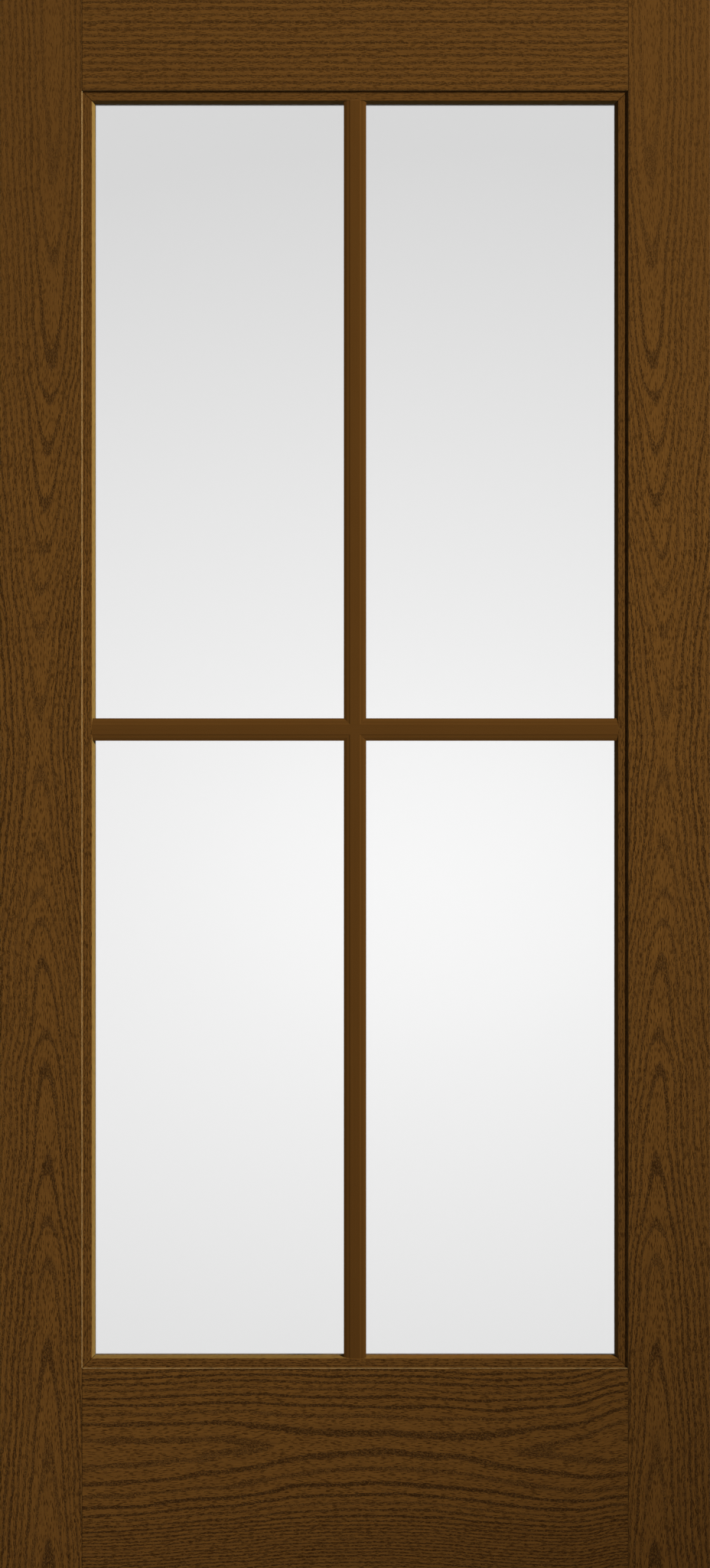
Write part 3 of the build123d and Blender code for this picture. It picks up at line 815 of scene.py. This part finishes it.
def grown_mesh(name, tree, values):
    """The plain mesh that a geometry tree makes from its named inputs, as a new object."""
    seed = bpy.data.objects.new(name + "_seed", bpy.data.meshes.new(name + "_seed"))
    bpy.context.scene.collection.objects.link(seed)
    modifier = seed.modifiers.new("nodes", "NODES")
    modifier.node_group = tree
    inputs = {item.name: item.identifier for item in tree.interface.items_tree if item.in_out == "INPUT"}
    for key, value in values.items():
        modifier[inputs[key]] = value
    grown = bpy.data.meshes.new_from_object(seed.evaluated_get(bpy.context.evaluated_depsgraph_get()))
    bpy.data.objects.remove(seed)
    if not grown.polygons:
        raise RuntimeError(f"the geometry tree of {name} made no faces")
    grown.name = name
    made = bpy.data.objects.new(name, grown)
    bpy.context.scene.collection.objects.link(made)
    return made


class DOOR_OT_stain_skins(bpy.types.Operator):
    """Stain the two moulded skins as oak"""

    bl_idname = "door.stain_skins"
    bl_label = "Stain Skins"

    def execute(self, context):
        dress(skin_oak(context.scene.door_oak), *both_faces("skin"))
        return {"FINISHED"}


class DOOR_OT_stain_beads(bpy.types.Operator):
    """Stain the mitred glazing beads"""

    bl_idname = "door.stain_beads"
    bl_label = "Stain Beads"

    def execute(self, context):
        beads = both_faces("bead_hinge_side", "bead_lock_side", "bead_bottom", "bead_top")
        dress(bead_oak(context.scene.door_oak), *beads)
        return {"FINISHED"}


class DOOR_OT_stain_bars(bpy.types.Operator):
    """Stain the level and upright glazing bars"""

    bl_idname = "door.stain_bars"
    bl_label = "Stain Bars"

    def execute(self, context):
        oak = context.scene.door_oak
        dress(bar_finish(oak, is_level=True), *both_faces("cross_bar"))
        dress(bar_finish(oak, is_level=False), *both_faces("upper_bar", "lower_bar"))
        return {"FINISHED"}


class DOOR_OT_set_glass(bpy.types.Operator):
    """Make the panes clear glass"""

    bl_idname = "door.set_glass"
    bl_label = "Set Glass"

    def execute(self, context):
        dress(clear_glass(context.scene.door_glazing), *both_faces("pane"))
        return {"FINISHED"}


class DOOR_OT_finish_spacer(bpy.types.Operator):
    """Finish the spacer in aluminium and set vent slots round its inner face"""

    bl_idname = "door.finish_spacer"
    bl_label = "Finish Spacer"

    def execute(self, context):
        glazing = context.scene.door_glazing
        dress(spacer_metal(glazing), "spacer_frame")
        low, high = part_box("spacer_frame")
        centre = (low + high) / 2
        points = [vertex.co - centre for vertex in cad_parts["spacer_frame"].data.vertices]
        slots = grown_mesh("spacer_vent_slots", perforation_tree(), {
            "Width": 2 * min(abs(point.x) for point in points),
            "Height": 2 * min(abs(point.z) for point in points),
            "Spacing": glazing.slot_spacing,
            "Slot length": glazing.slot_length,
            "Slot width": glazing.slot_width,
            "Slot depth": glazing.slot_depth,
            "Centre": centre,
            "Material": slot_painted_shade(glazing),
        })
        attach(slots, "root")
        return {"FINISHED"}


class DOOR_OT_finish_seals(bpy.types.Operator):
    """Finish the glazing tapes and the setting blocks"""

    bl_idname = "door.finish_seals"
    bl_label = "Finish Seals"

    def execute(self, context):
        glazing = context.scene.door_glazing
        tape = seal_rubber("glazing_tape", glazing.tape, TAPE_GRAIN, TAPE_ROUGHNESS)
        dress(tape, *both_faces("tape"))
        rubber = seal_rubber("setting_rubber", glazing.rubber, BLOCK_GRAIN, BLOCK_ROUGHNESS)
        dress(rubber, "setting_block_hinge_side", "setting_block_lock_side")
        return {"FINISHED"}


class DOOR_OT_finish_edges(bpy.types.Operator):
    """Finish the edge strips, stiles and rails that show at the leaf's edges"""

    bl_idname = "door.finish_edges"
    bl_label = "Finish Edges"

    def execute(self, context):
        edge = context.scene.door_edges
        dress(edge_hardwood(edge), "hinge_edge_strip", "lock_edge_strip")
        dress(laminated_stile(edge), "hinge_stile", "lock_stile")
        composite = flecked("composite_rail", edge.composite, edge.composite_dark, *COMPOSITE_FLECK)
        dress(composite, "bottom_rail", "top_rail")
        return {"FINISHED"}


class DOOR_OT_finish_core(bpy.types.Operator):
    """Finish the foam core and the liners inside the leaf"""

    bl_idname = "door.finish_core"
    bl_label = "Finish Core"

    def execute(self, context):
        edge = context.scene.door_edges
        liner = flecked("liner_softwood", edge.softwood, edge.softwood_dark, *LINER_FLECK)
        dress(liner, "liner_hinge_side", "liner_lock_side", "liner_bottom", "liner_top")
        dress(flecked("core_foam", edge.foam, edge.foam_dark, *FOAM_FLECK), "foam_core")
        return {"FINISHED"}


def seen_directly(sheet):
    """1 for eyes, reflections and sight through glass, and 0 for the light that falls on things."""
    path = sheet.node("ShaderNodeLightPath")
    seen = sheet.math("MAXIMUM", path.outputs["Is Camera Ray"], path.outputs["Is Glossy Ray"])
    return sheet.math("MAXIMUM", seen, path.outputs["Is Transmission Ray"])


def pale_world(stage):
    """Even light all round, and a pale backdrop with a soft glow for eyes, reflections and glass."""
    world = bpy.data.worlds.new("pale_studio")
    world.use_nodes = True
    tree = world.node_tree
    tree.nodes.clear()
    sheet = NodeSheet(tree)
    toward = sheet.node("ShaderNodeTexCoord").outputs["Generated"]
    split = sheet.node("ShaderNodeSeparateXYZ", {"Vector": toward})
    x, y, z = (sheet.wire(split, axis) for axis in ("X", "Y", "Z"))
    aside = (x - GLOW_DIRECTION[0]) / GLOW_WIDTH
    above = z - GLOW_DIRECTION[1]
    ahead = y < 0.0
    distance = sheet.math("SQRT", aside * aside + above * above) / GLOW_REACH + ahead
    level = sheet.curve(sheet.math("MINIMUM", distance, 1.0), GLOW_CURVE)
    tone = sheet.choose(seen_directly(sheet), stage.sky, level)
    backdrop = sheet.node("ShaderNodeBackground", {"Color": tone})
    sheet.node("ShaderNodeOutputWorld", {"Surface": backdrop.outputs[0]})
    bpy.context.scene.world = world


def pale_floor(stage):
    """Round pale floor that fades into the backdrop."""
    mesh = bpy.data.meshes.new("floor")
    disc = bmesh.new()
    bmesh.ops.create_circle(disc, cap_ends=True, segments=FLOOR_SIDES, radius=FLOOR_RADIUS)
    disc.to_mesh(mesh)
    disc.free()
    mesh.transform(Matrix.Translation((LEAF_MIDDLE_X / MM, 0, 0)))
    floor = bpy.data.objects.new("floor", mesh)
    bpy.context.scene.collection.objects.link(floor)
    material, sheet, shader = new_material("pale_floor")
    x, y = (value / MM for value in sheet.place()[:2])
    aside = x - LEAF_MIDDLE_X / MM
    radius = sheet.math("SQRT", aside * aside + y * y)
    mottle = sheet.noise(x, y, layer=0.0, size=FLOOR_MOTTLE, detail=3.0)
    tone = tuple(value * FLOOR_MOTTLE_TONE for value in stage.floor)
    path = sheet.node("ShaderNodeLightPath")
    shown = sheet.stain(mottle, stage.floor, tone)
    dim = tuple(value * bounce for value, bounce in zip(stage.floor, FLOOR_BOUNCE))
    sheet.feed(shader.inputs["Base Color"], sheet.stain(path.outputs["Is Diffuse Ray"], shown, dim))
    shader.inputs["Roughness"].default_value = FLOOR_ROUGHNESS
    shader.inputs["Emission Color"].default_value = opaque((1.0, 1.0, 1.0))
    sheet.feed(shader.inputs["Emission Strength"], seen_directly(sheet) * FLOOR_GLOW)
    sheet.feed(shader.inputs["Alpha"], sheet.ease(radius, *FLOOR_FADE, 1.0, 0.0))
    mesh.materials.append(material)
    return floor


def lamp(name, kind, place, aim, **settings):
    """A lamp at a place, aimed at a point."""
    light = bpy.data.lights.new(name, kind)
    for key, value in settings.items():
        setattr(light, key, value)
    made = bpy.data.objects.new(name, light)
    made.location = place
    made.rotation_euler = (Vector(place) - Vector(aim)).to_track_quat("Z", "Y").to_euler()
    for ray in ("camera", "glossy", "transmission"):
        setattr(made, f"visible_{ray}", False)
    bpy.context.scene.collection.objects.link(made)
    return made


def light_only(name, floor, state, *lamps):
    """Lets lamps light the floor alone, or everything but the floor."""
    lit = bpy.data.collections.new(name)
    lit.objects.link(floor)
    lit.collection_objects[0].light_linking.link_state = state
    for made in lamps:
        made.light_linking.receiver_collection = lit


def studio_lamps(stage, floor):
    """Key light from the upper right, soft lights over the front and behind, and the floor's own light."""
    middle = Vector((LEAF_MIDDLE_X, 0, LEAF_HEIGHT / 2)) / MM
    aim = Vector((LEAF_MIDDLE_X / MM, 0, KEY_AIM))
    high = aim + Vector(KEY_DIRECTION).normalized() * KEY_DISTANCE
    key_power = stage.key * 4 * math.pi * KEY_DISTANCE ** 2
    key = lamp("key", "SPOT", high, aim, energy=key_power, spot_size=KEY_CONE, spot_blend=1.0,
               shadow_soft_size=KEY_RADIUS)
    top = lamp("top_light", "AREA", TOP_LIGHT_PLACE, TOP_LIGHT_AIM, energy=stage.top_light,
               shape="RECTANGLE", size=TOP_LIGHT_SIZE[0], size_y=TOP_LIGHT_SIZE[1])
    back = lamp("back_light", "AREA", BACK_LIGHT_PLACE, middle, energy=stage.back_light,
                shape="RECTANGLE", size=BACK_LIGHT_SIZE, size_y=BACK_LIGHT_SIZE)
    even = lamp("floor_light", "SUN", high, aim, energy=stage.floor_light, angle=FLOOR_SHADOW_SPREAD)
    light_only("all_but_floor", floor, "EXCLUDE", key, top, back)
    light_only("floor_alone", floor, "INCLUDE", even)


def front_camera(stage):
    """A long lens square to the outdoor face, as far off as makes the leaf fill the picture's width."""
    camera = bpy.data.objects.new("camera", bpy.data.cameras.new("camera"))
    camera.data.lens = stage.lens
    camera.data.sensor_width = SENSOR
    seen_height = LEAF_WIDTH / MM * PHOTO_HEIGHT / PHOTO_WIDTH * PICTURE_CROP
    away = stage.lens / SENSOR * seen_height
    camera.location = (LEAF_MIDDLE_X / MM, -FACE_DEPTH / MM - away, LEAF_HEIGHT / 2 / MM)
    camera.rotation_euler = (math.pi / 2, 0, 0)
    camera.data.clip_end = SIGHT_LIMIT
    bpy.context.scene.collection.objects.link(camera)
    bpy.context.scene.camera = camera


class DOOR_OT_set_stage(bpy.types.Operator):
    """Set the pale floor, the lamps, the backdrop and the camera"""

    bl_idname = "door.set_stage"
    bl_label = "Set Stage"

    def execute(self, context):
        stage = context.scene.door_stage
        pale_world(stage)
        studio_lamps(stage, pale_floor(stage))
        front_camera(stage)
        context.scene.view_settings.view_transform = "Standard"
        return {"FINISHED"}


OPERATORS = (
    DOOR_OT_stain_skins,
    DOOR_OT_stain_beads,
    DOOR_OT_stain_bars,
    DOOR_OT_set_glass,
    DOOR_OT_finish_spacer,
    DOOR_OT_finish_seals,
    DOOR_OT_finish_edges,
    DOOR_OT_finish_core,
    DOOR_OT_set_stage,
)

SETTINGS = {
    "door_oak": OakSettings,
    "door_glazing": GlazingSettings,
    "door_edges": EdgeSettings,
    "door_stage": StageSettings,
}


class DOOR_PT_finish(bpy.types.Panel):
    """The steps of the finish and their settings"""

    bl_idname = "DOOR_PT_finish"
    bl_label = "Glazed Door Leaf"
    bl_space_type = "VIEW_3D"
    bl_region_type = "UI"
    bl_category = "Door"

    def draw(self, context):
        for operator in OPERATORS:
            self.layout.operator(operator.bl_idname)
        for key, group in SETTINGS.items():
            box = self.layout.box()
            box.label(text=group.__doc__)
            for name in group.__annotations__:
                box.prop(getattr(context.scene, key), name)


CLASSES = (*SETTINGS.values(), *OPERATORS, DOOR_PT_finish)


def register():
    """Adds the settings, operators and panel to Blender."""
    for made in CLASSES:
        bpy.utils.register_class(made)
    for key, group in SETTINGS.items():
        setattr(bpy.types.Scene, key, PointerProperty(type=group))


def unregister():
    """Takes the settings, operators and panel out of Blender."""
    for key in SETTINGS:
        delattr(bpy.types.Scene, key)
    for made in reversed(CLASSES):
        bpy.utils.unregister_class(made)


def main():
    """Runs every step of the finish in order."""
    register()
    for operator in OPERATORS:
        group, name = operator.bl_idname.split(".")
        getattr(getattr(bpy.ops, group), name)()


if __name__ == "__main__":
    main()
